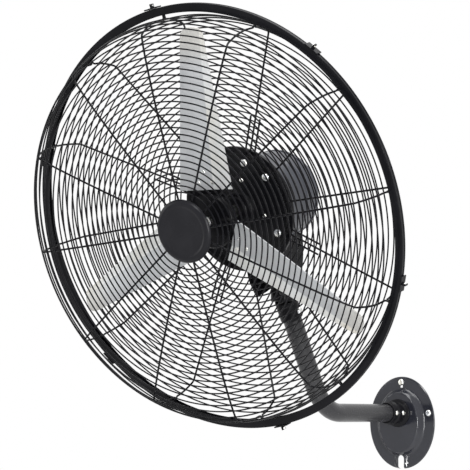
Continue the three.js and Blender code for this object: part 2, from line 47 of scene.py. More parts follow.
# Places: the wall frame is the row frame in millimetres, and the head frame starts at the middle of the
# hub cap, with y running back along the motor axis.
wallFrame = Matrix.Scale(0.001, 4)
joints = {joint["name"]: joint for joint in frame["joints"]}
spin = joints["rotor_spin"]
backward = Vector(spin["axis"]).normalized()
headTilt = math.atan2(backward.z, backward.y)
headFrame = Matrix.Translation(spin["pos_m"]) @ Matrix.Rotation(headTilt, 4, "X") @ wallFrame
tiltPivot = Vector(joints["head_tilt"]["pos_m"]) * 1000
pivotInHead = headFrame.inverted() @ Vector(joints["head_tilt"]["pos_m"])
swivelY = joints["head_swivel"]["pos_m"][1] * 1000
gap = 0.3  # clearance between neighbouring parts


def fromAxis(radius, angle, along):
    # a point at an angle round the motor axis
    turn = math.radians(angle)
    return Vector((radius * math.cos(turn), along, radius * math.sin(turn)))


def turnedTo(angle):
    # turns a form about the motor axis
    return Matrix.Rotation(-math.radians(angle), 4, "Y")


def pointing(place, direction):
    # sets a form made along y at a place, its +y along the direction
    turn = Vector((0, 1, 0)).rotation_difference(Vector(direction)).to_matrix().to_4x4()
    return Matrix.Translation(place) @ turn


# shader maths


class Wire:
    # one output socket, so that maths on it reads as maths
    def __init__(self, finish, socket):
        self.finish = finish
        self.socket = socket

    def math(self, operation, other, swapped=False):
        pair = [other, self] if swapped else [self, other]
        return self.finish.node("ShaderNodeMath", {"operation": operation}, dict(enumerate(pair)))

    def __add__(self, other):
        return self.math("ADD", other)

    def __radd__(self, other):
        return self.math("ADD", other, True)

    def __sub__(self, other):
        return self.math("SUBTRACT", other)

    def __rsub__(self, other):
        return self.math("SUBTRACT", other, True)

    def __mul__(self, other):
        return self.math("MULTIPLY", other)

    def __rmul__(self, other):
        return self.math("MULTIPLY", other, True)

    def between(self, low, high):
        # 0 below low, 1 above high, smooth in the middle
        settings = {"interpolation_type": "SMOOTHSTEP"}
        return self.finish.node("ShaderNodeMapRange", settings, {0: self, 1: low, 2: high})


class Finish:
    # one procedural material and the record slot it stands for
    def __init__(self, name, slot, **fixed):
        self.slot = slot
        self.material = bpy.data.materials.new(name)
        self.material.use_nodes = True
        self.tree = self.material.node_tree
        self.shader = self.tree.nodes["Principled BSDF"]
        for socket, value in fixed.items():
            self.put(self.shader.inputs[socket.replace("_", " ")], value)
        self.place = self.node("ShaderNodeTexCoord", output="Object")

    def put(self, socket, value):
        if isinstance(value, Wire):
            self.tree.links.new(value.socket, socket)
        elif isinstance(value, tuple) and len(value) == 3 and socket.type == "RGBA":
            socket.default_value = (*value, 1)
        else:
            socket.default_value = value

    def node(self, kind, settings=None, sockets=None, output=0):
        made = self.tree.nodes.new(kind)
        for name, value in (settings or {}).items():
            setattr(made, name, value)
        for name, value in (sockets or {}).items():
            self.put(made.inputs[name], value)
        return Wire(self, made.outputs[output])

    def noise(self, scale, detail=3, stretch=(1, 1, 1), roughness=0.5):
        # grains per metre, optionally drawn out along an axis
        where = self.node("ShaderNodeVectorMath", {"operation": "MULTIPLY"}, {0: self.place, 1: stretch})
        sockets = {"Vector": where, "Scale": scale, "Detail": detail, "Roughness": roughness}
        return self.node("ShaderNodeTexNoise", {}, sockets)

    def blend(self, share, low, high):
        settings = {"data_type": "RGBA"}
        return self.node("ShaderNodeMix", settings, {0: share, 6: low, 7: high}, output=2)

    def bump(self, height, strength, distance):
        sockets = {"Height": height, "Strength": strength, "Distance": distance}
        return self.node("ShaderNodeBump", {}, sockets)

    def use(self, **links):
        for socket, value in links.items():
            self.put(self.shader.inputs[socket.replace("_", " ")], value)
        return self


def enamel(name, slot, colour, pale, roughness, peel, gloss=1.2):
    # baked enamel: a fine orange peel, a little settled dust and slow changes of tone
    paint = Finish(name, slot, Metallic=0.0, IOR=gloss)
    cloud = paint.noise(9, 4).between(0.35, 0.7)
    dust = paint.noise(140, 5, roughness=0.7).between(0.52, 0.8)
    tone = paint.blend(cloud * 0.5 + dust * 0.35, colour, pale)
    skin = paint.noise(420, 2)
    return paint.use(
        Base_Color=tone,
        Roughness=roughness + cloud * 0.06 + dust * 0.12,
        Normal=paint.bump(skin, peel, 0.0004),
    )


def metal(name, slot, colour, pale, roughness):
    # plated or machined metal with fine scratches and a soft blue to yellow drift
    plate = Finish(name, slot, Metallic=1.0)
    drift = plate.noise(60, 3).between(0.3, 0.7)
    lines = plate.noise(900, 3, (1, 0.08, 1)).between(0.3, 0.75)
    return plate.use(
        Base_Color=plate.blend(drift, colour, pale),
        Roughness=roughness + lines * 0.15,
        Normal=plate.bump(lines, 0.15, 0.0002),
    )


def plastic(name, slot, colour, pale, roughness, grain, coat=0.0):
    # moulded plastic: a spark eroded grain and faint rubbed patches
    mould = Finish(name, slot, Metallic=0.0, IOR=1.22, Coat_Weight=coat, Coat_Roughness=0.2)
    rubbed = mould.noise(25, 4).between(0.45, 0.75)
    pits = mould.noise(1800, 2)
    return mould.use(
        Base_Color=mould.blend(rubbed * 0.6, colour, pale),
        Roughness=roughness - rubbed * 0.08 + pits * 0.06,
        Normal=mould.bump(pits, grain, 0.0002),
    )


blade = {
    "root": 62,
    "tip": 370,
    "rootChord": 104,
    "tipChord": 44,
    "thick": 2,
    "angles": [84, -36, 204],
    "pitchRoot": 23,
    "pitchTip": 15,
    "tipRound": 16,
    "fold": -16,
    "foldTurn": 0.32,
}


def bladeSheet():
    # satin aluminium rolled along the blade, with a painted highlight that makes the folded lip brighter,
    # warmer in patches and at the tip
    sheet = Finish("satinAluminiumSheet", "blade_aluminium", Metallic=0.5, IOR=1.45)
    run = sheet.node("ShaderNodeAttribute", {"attribute_name": "bladeRun"}, output=2)
    across = sheet.node("ShaderNodeAttribute", {"attribute_name": "bladeAcross"}, output=2)
    drawn = sheet.node("ShaderNodeCombineXYZ", {}, {0: run * 0.012, 1: across * 0.9})
    sockets = {"Vector": drawn, "Scale": 2.2, "Detail": 6, "Roughness": 0.65}
    grain = sheet.node("ShaderNodeTexNoise", {}, sockets)
    streak = grain.between(0.3, 0.7)
    patch = sheet.noise(12, 3).between(0.4, 0.75)
    lipWithPaintedHighlight = 1 - across.between(blade["fold"] - 1.5, blade["fold"] + 1.5)
    warm = patch * lipWithPaintedHighlight + run.between(290, 350) * 0.7
    cool = sheet.blend(streak * 0.5, (0.44, 0.45, 0.465), (0.54, 0.55, 0.56))
    # painted highlight: the folded lip gets a paler colour, standing in for the light it catches
    tone = sheet.blend(lipWithPaintedHighlight * 0.8, cool, (0.72, 0.73, 0.73))
    return sheet.use(
        Base_Color=sheet.blend(warm * 0.4, tone, (0.60, 0.55, 0.44)),
        Roughness=0.36 + streak * 0.1 + patch * 0.05,
        Normal=sheet.bump(grain, 0.06, 0.0003),
    )


finishes = {
    "plate": enamel(
        "glossBlackEnamel", "black_enamel", (0.012, 0.013, 0.018), (0.022, 0.023, 0.03), 0.1, 0.04, 1.5
    ),
    "frame": enamel(
        "satinBlackEnamel", "black_enamel", (0.004, 0.004, 0.005), (0.01, 0.01, 0.0115), 0.24, 0.08
    ),
    "cage": enamel(
        "cageBlackEnamel", "cage_enamel", (0.003, 0.003, 0.004), (0.008, 0.008, 0.01), 0.2, 0.05
    ),
    "tube": enamel(
        "darkGreyTubeEnamel", "tube_enamel", (0.016, 0.016, 0.018), (0.03, 0.03, 0.032), 0.2, 0.08, 1.4
    ),
    "motor": enamel(
        "darkGreyMotorEnamel", "motor_enamel", (0.024, 0.027, 0.038), (0.04, 0.044, 0.056), 0.27, 0.08, 1.45
    ),
    "blade": bladeSheet(),
    "zinc": metal("brightZincPlate", "zinc", (0.74, 0.76, 0.8), (0.84, 0.82, 0.74), 0.2),
    "steel": metal("machinedSteel", "steel", (0.5, 0.51, 0.53), (0.62, 0.61, 0.58), 0.28),
    "copper": metal("varnishedWinding", "copper", (0.5, 0.2, 0.07), (0.65, 0.32, 0.14), 0.3),
    "plastic": plastic(
        "mattBlackPlastic", "black_plastic", (0.012, 0.012, 0.013), (0.022, 0.022, 0.024), 0.5, 0.3
    ),
    "cap": plastic(
        "satinCapPlastic", "cap_plastic", (0.007, 0.007, 0.009), (0.012, 0.012, 0.0145), 0.26, 0.1, 0.05
    ),
}
print("finishes made")


# forms: each gives points and faces


def gathered(forms):
    # several forms as one
    points, faces = [], []
    for morePoints, moreFaces in forms:
        start = len(points)
        points += morePoints
        faces += [[start + index for index in face] for face in moreFaces]
    return points, faces


def turned(profile, sides=96, loop=False):
    # a turned form about y from [radius, y] points
    points = []
    rows = []
    for radius, along in profile:
        first = len(points)
        if radius < 1e-6:
            points.append((0, along, 0))
            rows.append([first] * sides)
            continue
        for i in range(sides):
            turn = 2 * math.pi * i / sides
            points.append((radius * math.cos(turn), along, radius * math.sin(turn)))
        rows.append(list(range(first, first + sides)))
    pairs = list(zip(rows, rows[1:]))
    if loop:
        pairs.append((rows[-1], rows[0]))
    faces = []
    for low, high in pairs:
        for i in range(sides):
            j = (i + 1) % sides
            face = list(dict.fromkeys([low[i], low[j], high[j], high[i]]))
            if len(face) > 2:
                faces.append(face)
    return points, faces


def cutter(radius, low, high, sides):
    # a plain rod along y that a hole is cut with
    return turned([(0, low), (radius, low), (radius, high), (0, high)], sides)


def rounded(corners, radius, steps=3, loop=False):
    # the same line with its corners turned into arcs of about that radius
    line = []
    count = len(corners)
    for i, corner in enumerate(corners):
        here = Vector(corner)
        if not loop and i in (0, count - 1):
            line.append(here)
            continue
        before = Vector(corners[i - 1]) - here
        after = Vector(corners[(i + 1) % count]) - here
        reach = min(radius, before.length * 0.45, after.length * 0.45)
        start = here + before.normalized() * reach
        end = here + after.normalized() * reach
        for step in range(steps + 1):
            t = step / steps
            line.append(start * (1 - t) ** 2 + here * 2 * t * (1 - t) + end * t * t)
    return line


def wireAlong(path, radius, sides=10):
    # a round wire along a line of points, closed at both ends
    path = [Vector(point) for point in path]
    last = len(path) - 1
    tangents = []
    for i in range(last + 1):
        tangents.append((path[min(i + 1, last)] - path[max(i - 1, 0)]).normalized())
    side = tangents[0].orthogonal().normalized()
    points = []
    for i, place in enumerate(path):
        if i:
            side = tangents[i - 1].rotation_difference(tangents[i]) @ side
        up = tangents[i].cross(side)
        for k in range(sides):
            turn = 2 * math.pi * k / sides
            points.append(place + radius * (math.cos(turn) * side + math.sin(turn) * up))
    faces = []
    for i in range(last):
        low, high = i * sides, (i + 1) * sides
        for k in range(sides):
            j = (k + 1) % sides
            faces.append([low + k, low + j, high + j, high + k])
    faces.append(list(range(sides)))
    faces.append([last * sides + k for k in range(sides)])
    return points, faces


def slab(outline, low, high):
    # an outline in y-z, as thick along x as from low to high
    count = len(outline)
    points = [(x, y, z) for x in (low, high) for y, z in outline]
    faces = [list(range(count)), list(range(count, 2 * count))]
    for i in range(count):
        j = (i + 1) % count
        faces.append([i, j, count + j, count + i])
    return points, faces


def block(size, middle=(0, 0, 0)):
    x, y, z = (value / 2 for value in size)
    points, faces = slab([(-y, -z), (y, -z), (y, z), (-y, z)], -x, x)
    return [Vector(point) + Vector(middle) for point in points], faces


def hexagon(radius, low, high, chamfer=1):
    # a hexagon head or nut along y, with its corners turned off
    inner = radius - chamfer
    return turned([(0, low), (inner, low), (radius, low + chamfer), (radius, high), (0, high)], 6)


# pieces


def meshFrom(name, form, place):
    points, faces = form
    mesh = bpy.data.meshes.new(name)
    mesh.from_pydata([place @ Vector(point) for point in points], [], faces)
    work = bmesh.new()
    work.from_mesh(mesh)
    bmesh.ops.remove_doubles(work, verts=work.verts, dist=1e-7)
    bmesh.ops.recalc_face_normals(work, faces=work.faces)
    work.to_mesh(mesh)
    work.free()
    return mesh


def combine(mesh, tool, operation):
    # joins or cuts one mesh by another
    ends = []
    for data in (mesh, tool):
        thing = bpy.data.objects.new("work", data)
        bpy.context.scene.collection.objects.link(thing)
        ends.append(thing)
    step = ends[0].modifiers.new("combine", "BOOLEAN")
    step.operation = operation
    step.solver = "EXACT"
    step.object = ends[1]
    graph = bpy.context.evaluated_depsgraph_get()
    result = bpy.data.meshes.new_from_object(ends[0].evaluated_get(graph))
    for thing in ends:
        bpy.data.objects.remove(thing)
    return result


def smoothFaces(mesh, crease):
    work = bmesh.new()
    work.from_mesh(mesh)
    for face in work.faces:
        face.smooth = True
    for edge in work.edges:
        edge.smooth = edge.calc_face_angle(0) < math.radians(crease)
    work.to_mesh(mesh)
    work.free()


def makePiece(
    name, forms, finish, body, nodes=(), place=headFrame, bevel=0, crease=35, holes=(), fused=False
):
    # one finished piece: forms joined or gathered, holes cut, edges broken, and set on its body
    forms = forms if isinstance(forms, list) else [forms]
    if fused:
        mesh = meshFrom(name, forms[0], place)
        for form in forms[1:]:
            mesh = combine(mesh, meshFrom(name, form, place), "UNION")
    else:
        mesh = meshFrom(name, gathered(forms), place)
    for hole in holes:
        mesh = combine(mesh, meshFrom(name, hole, place), "DIFFERENCE")
    mesh.name = name
    smoothFaces(mesh, crease)
    mesh.materials.clear()
    mesh.materials.append(finishes[finish].material)
    piece = bpy.data.objects.new(name, mesh)
    bpy.context.scene.collection.objects.link(piece)
    if bevel:
        edges = piece.modifiers.new("brokenEdges", "BEVEL")
        edges.width = bevel * 0.001
        edges.segments = 2
        edges.limit_method = "ANGLE"
        edges.angle_limit = math.radians(crease)
    if nodes:
        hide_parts(*nodes)
    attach(piece, body)
    return piece


def placed(form, place):
    points, faces = form
    return [place @ Vector(point) for point in points], faces


def panHead(radius, height, shank, length):
    # a pan head on y: its underside at y = 0, its crossed recess towards -y and its shank towards +y
    crown = [(0, 1), (0.55, 0.97), (0.85, 0.75), (1, 0.3)]
    line = [(radius * wide, -height * tall) for wide, tall in crown]
    line += [(radius, 0), (shank, 0), (shank, length), (0, length)]
    return turned(rounded(line, radius * 0.15, 2), 28)


def crossRecess(radius, height):
    depth = height * 0.5
    bar = radius * 0.24
    middle = (0, -height, 0)
    long = radius * 1.1
    return [block((long, depth * 2, bar), middle), block((bar, depth * 2, long), middle)]


def screw(
    name, node, place, direction, body, frameUsed=headFrame, radius=4.5, height=3, shank=2.2, length=6
):
    # a zinc pan head screw, driven along the direction
    stand = pointing(place, direction)
    head = placed(panHead(radius, height, shank, length), stand)
    recess = [placed(form, stand) for form in crossRecess(radius, height)]
    nodes = [node] if node else []
    return makePiece(name, head, "zinc", body, nodes, frameUsed, holes=recess, crease=40)


# wall plate and its screws

plate = {
    "halfWidth": 81,
    "halfHeight": 99,
    "thick": 3,
    "dishFoot": (62, 75),
    "dishTop": (46, 63),
    "dishDepth": 16,
    "channelHalf": 16,
    "channelDepth": 5,
    "slotHalf": 8,
    "slotTop": -78,
    "slotFoot": -93,
    "screwHole": 4.6,
    "topScrew": (0, 87),
    "sideScrew": (67, 20.4),
}


def smoothstep(value, low, high):
    t = min(max((value - low) / (high - low), 0), 1)
    return t * t * (3 - 2 * t)


def plateRise(x, z):
    # how far the pressing stands out of its flange at a place
    foot = math.hypot(x / plate["dishFoot"][0], z / plate["dishFoot"][1])
    top = math.hypot(x / plate["dishTop"][0], z / plate["dishTop"][1])
    share = (1 - foot) / max((1 - foot) + (top - 1), 1e-6) if foot < 1 < top else float(foot < 1)
    dish = plate["dishDepth"] * smoothstep(share, 0.08, 0.92)
    across = 1 - smoothstep(abs(x), plate["channelHalf"] - 5, plate["channelHalf"])
    below = smoothstep(-z, 50, 60) * (1 - smoothstep(-z, 96, 98))
    return max(dish, plate["channelDepth"] * across * below)


def wallPlate():
    rings, spokes = 54, 168
    front, back = [], []
    for ring in range(rings + 1):
        share = ring / rings
        for spoke in range(spokes):
            turn = 2 * math.pi * spoke / spokes
            x = plate["halfWidth"] * share * math.cos(turn)
            z = plate["halfHeight"] * share * math.sin(turn)
            rise = plateRise(x, z)
            edge = 1.2 * smoothstep(share, 0.985, 1.0)
            front.append((x, -plate["thick"] - rise + edge, z))
            back.append((x, -max(rise - 0.5, 0), z))
            if not ring:
                break
    count = len(front)
    first = [0] + [1 + spokes * ring for ring in range(rings)]
    faces = []
    for shift in (0, count):
        for spoke in range(spokes):
            j = (spoke + 1) % spokes
            faces.append([shift, shift + 1 + spoke, shift + 1 + j])
            for ring in range(1, rings):
                a, b = shift + first[ring], shift + first[ring + 1]
                faces.append([a + spoke, b + spoke, b + j, a + j])
    for spoke in range(spokes):
        j = (spoke + 1) % spokes
        rim = first[rings]
        faces.append([rim + spoke, rim + j, count + rim + j, count + rim + spoke])
    through = 60
    hole = cutter(plate["screwHole"], -through, through, 24)
    topX, topZ = plate["topScrew"]
    sideX, sideZ = plate["sideScrew"]
    spots = [(topX, 0, topZ), (sideX, 0, sideZ), (-sideX, 0, sideZ)]
    holes = [placed(hole, Matrix.Translation(spot)) for spot in spots]
    holes.append(block((7, through, 9), (topX, 0, topZ - 7)))
    slotLine = []
    for k in range(25):
        turn = math.pi * k / 12
        middle = plate["slotTop"] if k <= 12 else plate["slotFoot"]
        slotLine.append((plate["slotHalf"] * math.cos(turn), middle + plate["slotHalf"] * math.sin(turn)))
    slot = slab(slotLine, -through, through)
    quarter = Matrix.Rotation(math.radians(90), 4, "Z")
    holes.append(placed(slot, quarter))
    pressing = (front + back, faces)
    options = {"place": wallFrame, "holes": holes}
    makePiece("wallPlatePressing", pressing, "plate", "wall_bracket", ["wall_plate"], **options)


wallPlate()
for name, node, (x, z) in [
    ("wallScrewTop", "wall_screw_top", plate["topScrew"]),
    ("wallScrewRight", "wall_screw_right", plate["sideScrew"]),
    ("wallScrewLeft", "wall_screw_left", (-plate["sideScrew"][0], plate["sideScrew"][1])),
]:
    place = (x, -plate["thick"] - gap, z)
    screw(name, node, place, (0, 1, 0), "wall_bracket", wallFrame, radius=7, height=4.5, shank=4, length=3)
print("wall plate made")

# arm: collar, tube and neck socket

arm = {
    "radius": 19,
    "axisZ": 20.4,
    "cornerY": -311,
    "slope": 59,
    "bend": 110,
    "topLength": 262,
    "from": -19.6,
}
collar = {
    "radius": 22.5,
    "bead": 25.5,
    "base": 30,
    "face": -19.3,
    "mouth": -68.3,
    "beadFrom": -45,
    "beadTo": -51,
    "grubHole": 3.3,
}
grubPlaces = [-34, -60]
slope = math.radians(arm["slope"])
legDirection = Vector((0, -math.cos(slope), math.sin(slope)))
armCorner = Vector((0, arm["cornerY"], arm["axisZ"]))


def armPath():
    # level out of the wall, round the bend, then straight up the slope
    lead = arm["bend"] * math.tan(slope / 2)
    path = [Vector((0, arm["from"], arm["axisZ"]))]
    steps = 28
    for k in range(steps + 1):
        turn = slope * k / steps
        y = arm["cornerY"] + lead - arm["bend"] * math.sin(turn)
        path.append(Vector((0, y, arm["axisZ"] + arm["bend"] * (1 - math.cos(turn)))))
    path.append(armCorner + legDirection * arm["topLength"])
    return path


def armCollar():
    base, radius, bead = collar["base"], collar["radius"], collar["bead"]
    face, mouth = collar["face"], collar["mouth"]
    inside = arm["radius"] + gap
    line = [
        (inside, face),
        (base, face),
        (base, face - 3),
        (radius, face - 6),
        (radius, collar["beadFrom"] + 3),
        (bead, collar["beadFrom"]),
        (bead, collar["beadTo"]),
        (radius, collar["beadTo"] - 3),
        (radius, mouth),
        (inside, mouth),
    ]
    body = placed(turned(rounded(line, 1.4, 3, True), 72, True), Matrix.Translation((0, 0, arm["axisZ"])))
    bore = cutter(collar["grubHole"], -4, 8, 20)
    side = [pointing((collar["radius"], y, arm["axisZ"]), (1, 0, 0)) for y in grubPlaces]
    holes = [placed(bore, stand) for stand in side]
    makePiece("armCollarSocket", body, "frame", "wall_bracket", ["arm_collar"], wallFrame, holes=holes)


armCollar()
armTube = wireAlong(armPath(), arm["radius"], 56)
makePiece("armTubeBent", armTube, "tube", "wall_bracket", ["arm_tube"], wallFrame)
for i, y in enumerate(grubPlaces):
    place = (collar["radius"] + gap, y, arm["axisZ"])
    name, node = f"collarScrew{i + 1}", f"collar_screw_{i + 1}"
    sizes = {"radius": 5, "height": 3, "shank": 3, "length": 2.6}
    screw(name, node, place, (-1, 0, 0), "wall_bracket", wallFrame, **sizes)

neck = {
    "radius": 23,
    "from": 220,
    "to": 262,
    "boss": 22,
    "top": joints["head_swivel"]["pos_m"][2] * 1000,
    "boltAt": 236,
}
upright = Matrix.Translation((0, swivelY, 0)) @ Matrix.Rotation(math.radians(90), 4, "X")


def neckSocket():
    radius, top, low = neck["radius"], neck["top"], neck["top"] - neck["boss"]
    boss = [(0, low), (radius, low), (radius, top), (0, top)]
    start, end = neck["from"], neck["to"]
    sleeve = [(0, start), (radius, start), (radius, end), (0, end)]
    forms = [
        placed(turned(rounded(sleeve, 2, 3), 64), pointing(armCorner, legDirection)),
        placed(turned(rounded(boss, 2, 3), 64), upright),
    ]
    makePiece("neckSocketCasting", forms, "frame", "wall_bracket", ["neck_socket"], wallFrame, fused=True)


neckSocket()
boltPlace = armCorner + legDirection * neck["boltAt"]
boltPlace.x = neck["radius"] + gap
boltSizes = {"radius": 7, "height": 5, "shank": 4, "length": 3}
screw("neckBolt", "neck_bolt", boltPlace, (-1, 0, 0), "wall_bracket", wallFrame, **boltSizes)
print("arm made")

# swivel knuckle

knuckle = {"foot": 23, "column": 18, "barrel": 17, "halfWidth": 27}


def swivelKnuckle():
    floor, top = neck["top"] + gap, tiltPivot.z
    foot, column = knuckle["foot"], knuckle["column"]
    stem = [(0, floor), (foot, floor), (foot, floor + 6), (column, floor + 9), (column, top), (0, top)]
    half, radius = knuckle["halfWidth"], knuckle["barrel"]
    barrel = [(0, -half), (radius, -half), (radius, half), (0, half)]
    forms = [
        placed(turned(rounded(stem, 1.8, 3), 64), upright),
        placed(turned(rounded(barrel, 1.8, 3), 56), pointing(tiltPivot, (1, 0, 0))),
    ]
    makePiece("swivelKnuckleCasting", forms, "frame", "swivel", ["swivel_knuckle"], wallFrame, fused=True)


swivelKnuckle()

# tilt bracket with its bolt and knob

bracket = {"inner": 27.3, "sheet": 3, "low": -186, "front": 214, "back": 340, "motorRadius": 88}


def tiltBracket():
    inner, outer = bracket["inner"], bracket["inner"] + bracket["sheet"]
    seat = bracket["motorRadius"] + gap
    outline = [
        (bracket["front"], -86),
        (bracket["front"], -150),
        (228, bracket["low"]),
        (258, bracket["low"]),
        (300, -180),
        (312, -158),
        (bracket["back"], -86),
    ]
    cheek = rounded(outline, 9, 4, True)
    forms = [slab(cheek, inner, outer), slab(cheek, -outer, -inner)]
    saddle = []
    steps = 12
    spread = math.asin(outer / (seat + bracket["sheet"]))
    for radius, order in ((seat, 1), (seat + bracket["sheet"], -1)):
        for k in range(steps + 1):
            turn = spread * (2 * k / steps - 1) * order
            saddle.append((radius * math.sin(turn), -radius * math.cos(turn)))
    points, faces = slab(saddle, bracket["front"], bracket["back"])
    forms.append(([(y, x, z) for x, y, z in points], faces))
    motor = cutter(seat, 150, 400, 96)
    options = {"holes": [motor], "bevel": 0.6, "crease": 30, "fused": True}
    makePiece("tiltBracketChannel", forms, "frame", "head", ["tilt_bracket"], **options)


def tiltBolt():
    outer = bracket["inner"] + bracket["sheet"]
    across = pointing(pivotInHead, (1, 0, 0))
    shank = [(0, -outer - 14), (6, -outer - 14), (6, outer + 1), (0, outer + 1)]
    washer = [(6, outer + gap), (12, outer + gap), (12, outer + 1.6), (6, outer + 1.6)]
    forms = [
        placed(turned(rounded(shank, 0.8, 2), 32), across),
        placed(turned(rounded(washer, 0.4, 2, True), 40, True), across),
        placed(hexagon(10, -outer - 6.3, -outer - 1.6), across @ Matrix.Rotation(math.pi, 4, "X")),
    ]
    makePiece("tiltBoltZinc", forms, "zinc", "head", ["tilt_bolt"], bevel=0.3)


knob = {
    "radius": 14.6,
    "lobe": 2.6,
    "lobes": 5,
    "stations": [(0.62, 3), (0.95, 3.6), (1, 5), (1, 10.5), (0.94, 12), (0.7, 13)],
}


def tiltKnob():
    outer = bracket["inner"] + bracket["sheet"] + 2 * gap
    sides = 100
    rim = []
    for k in range(sides):
        turn = 2 * math.pi * k / sides
        rim.append(knob["radius"] + knob["lobe"] * math.cos(knob["lobes"] * turn))
    stations = knob["stations"]
    points, faces = [(0, outer + 3, 0)], []
    for share, along in stations:
        for k, radius in enumerate(rim):
            turn = 2 * math.pi * k / sides
            reach = radius * share
            points.append((reach * math.cos(turn), outer + along, reach * math.sin(turn)))
    points.append((0, outer + stations[-1][1], 0))
    for k in range(sides):
        j = (k + 1) % sides
        faces.append([0, 1 + k, 1 + j])
        for row in range(len(stations) - 1):
            low, high = 1 + row * sides, 1 + (row + 1) * sides
            faces.append([low + k, low + j, high + j, high + k])
        end = 1 + (len(stations) - 1) * sides
        faces.append([end + k, end + j, len(points) - 1])
    boss = turned(rounded([(0, outer), (9, outer), (9, outer + 4), (0, outer + 4)], 0.5, 2), 40)
    across = pointing(pivotInHead, (-1, 0, 0))
    forms = [placed((points, faces), across), placed(boss, across)]
    makePiece("tiltKnobLobed", forms, "plastic", "head", ["tilt_knob"])


tiltBracket()
tiltBolt()
tiltKnob()
print("neck and bracket made")

# motor

motor = {
    "radius": 88,
    "front": 190.3,
    "back": 350,
    "bell": 326,
    "flange": 124,
    "flangeFront": 185,
    "flangeBack": 190,
    "shaftHole": 12,
    "noseFront": 164,
}
flangeScrews = {"radius": 95, "angles": [71, 38, -33, 218], "hole": 3.4}
noseScrews = {"radius": 59, "angles": [73, 163, 253, 343]}


def motorFlange():
    front, back, rim = motor["flangeFront"], motor["flangeBack"], motor["flange"]
    hole, nose = motor["shaftHole"], motor["noseFront"]
    line = [
        (hole, nose),
        (27, nose),
        (30, nose + 3),
        (31, front - 4),
        (36, front),
        (108, front),
        (111, front - 3),
        (rim, front - 3),
        (rim, back),
        (hole, back),
    ]
    bore = cutter(flangeScrews["hole"], front - 20, back + 20, 20)
    holes = []
    for angle in flangeScrews["angles"]:
        spot = Matrix.Translation(fromAxis(flangeScrews["radius"], angle, 0))
        holes.append(placed(bore, spot))
    body = turned(rounded(line, 1.6, 3, True), 128, True)
    makePiece("motorFrontFlange", body, "frame", "head", ["motor_flange"], holes=holes)


def motorShell():
    front, back, radius = motor["front"], motor["bell"], motor["radius"]
    low = radius - 0.8
    line = [(0, front), (radius, front), (radius, front + 4), (low, front + 6)]
    for bead in (front + 40, back - 34):
        line += [(low, bead), (radius, bead + 2.5), (radius, bead + 5.5), (low, bead + 8)]
    line += [(low, back - 1), (0, back - 1)]
    makePiece("motorShellDrawn", turned(rounded(line, 1.2, 3), 128), "motor", "head", ["motor_shell"])


def motorBell():
    front, back, radius = motor["bell"], motor["back"], motor["radius"]
    arc = []
    for k in range(13):
        turn = math.radians(90) * k / 12
        arc.append((radius - 20 + 20 * math.cos(turn), back - 20 + 18 * math.sin(turn)))
    line = [(0, front), (radius, front), *arc, (42, back - 2), (38, back), (0, back)]
    forms = [turned(line, 128)]
    ribSide = rounded([(back - 8, 46), (back - 0.4, 46), (back - 0.4, 70), (back - 8, 78)], 2, 2, True)
    for k in range(12):
        forms.append(placed(slab(ribSide, -1.5, 1.5), turnedTo(30 * k)))
    makePiece("motorRearBell", forms, "motor", "head", ["motor_rear_bell"], crease=30, fused=True)
    for i in range(4):
        place = fromAxis(60, 45 + 90 * i, back - 2.4)
        screw(f"bellScrew{i + 1}", None, place, (0, -1, 0), "head", radius=4, height=2.2, shank=2, length=3)


motorFlange()
motorShell()
motorBell()
for i, angle in enumerate(flangeScrews["angles"]):
    place = fromAxis(flangeScrews["radius"], angle, motor["flangeFront"] - gap)
    sizes = {"radius": 8, "height": 5, "shank": 3}
    screw(f"flangeScrew{i + 1}", f"flange_screw_{i + 1}", place, (0, 1, 0), "head", **sizes)
for i, angle in enumerate(noseScrews["angles"]):
    place = fromAxis(noseScrews["radius"], angle, motor["flangeFront"])
    screw(f"noseScrew{i + 1}", None, place, (0, 1, 0), "head", radius=4.5, height=3, shank=2.5, length=3)

# capacitor box on the left of the motor

box = {
    "from": 236,
    "length": 64,
    "height": 46,
    "inner": 74,
    "mouth": 118,
    "lid": 2,
    "glandX": -105,
    "glandRadius": 7,
    "glandHex": 9.5,
    "glandLength": 16,
}


def capacitorBox():
    middle = box["from"] + box["length"] / 2
    size = (box["mouth"] - box["inner"], box["length"], box["height"])
    tray = block(size, (-(box["inner"] + box["mouth"]) / 2, middle, 0))
    seat = cutter(motor["radius"] + gap, 180, 360, 128)
    makePiece("capacitorTray", tray, "plastic", "head", ["capacitor_box"], holes=[seat], bevel=1.2)
    lidX = -box["mouth"] - gap - box["lid"] / 2
    lid = block((box["lid"], box["length"], box["height"]), (lidX, middle, 0))
    makePiece("capacitorLid", lid, "plastic", "head", ["capacitor_box_lid"], bevel=0.8)
    for i, spot in enumerate((box["from"] + 6, box["from"] + box["length"] - 6)):
        place = (-box["mouth"] - 2 * gap - box["lid"], spot, 0)
        screw(f"lidScrew{i + 1}", f"lid_screw_{i + 1}", place, (1, 0, 0), "head", shank=2, length=2)
    stand = Matrix.Translation((box["glandX"], box["from"] + box["length"] + gap, 0))
    radius, length = box["glandRadius"], box["glandLength"]
    tube = [(4, 0), (radius, 0), (radius, length - 4), (radius - 2, length), (4, length)]
    gland = turned(rounded(tube, 0.8, 3, True), 40, True)
    forms = [placed(form, stand) for form in (gland, hexagon(box["glandHex"], 0, 6))]
    makePiece("cableGlandNut", forms, "plastic", "head", ["cable_gland"], bevel=0.3)


capacitorBox()
print("motor made")

# cage: rings of round wire welded to twelve ribs, front and rear

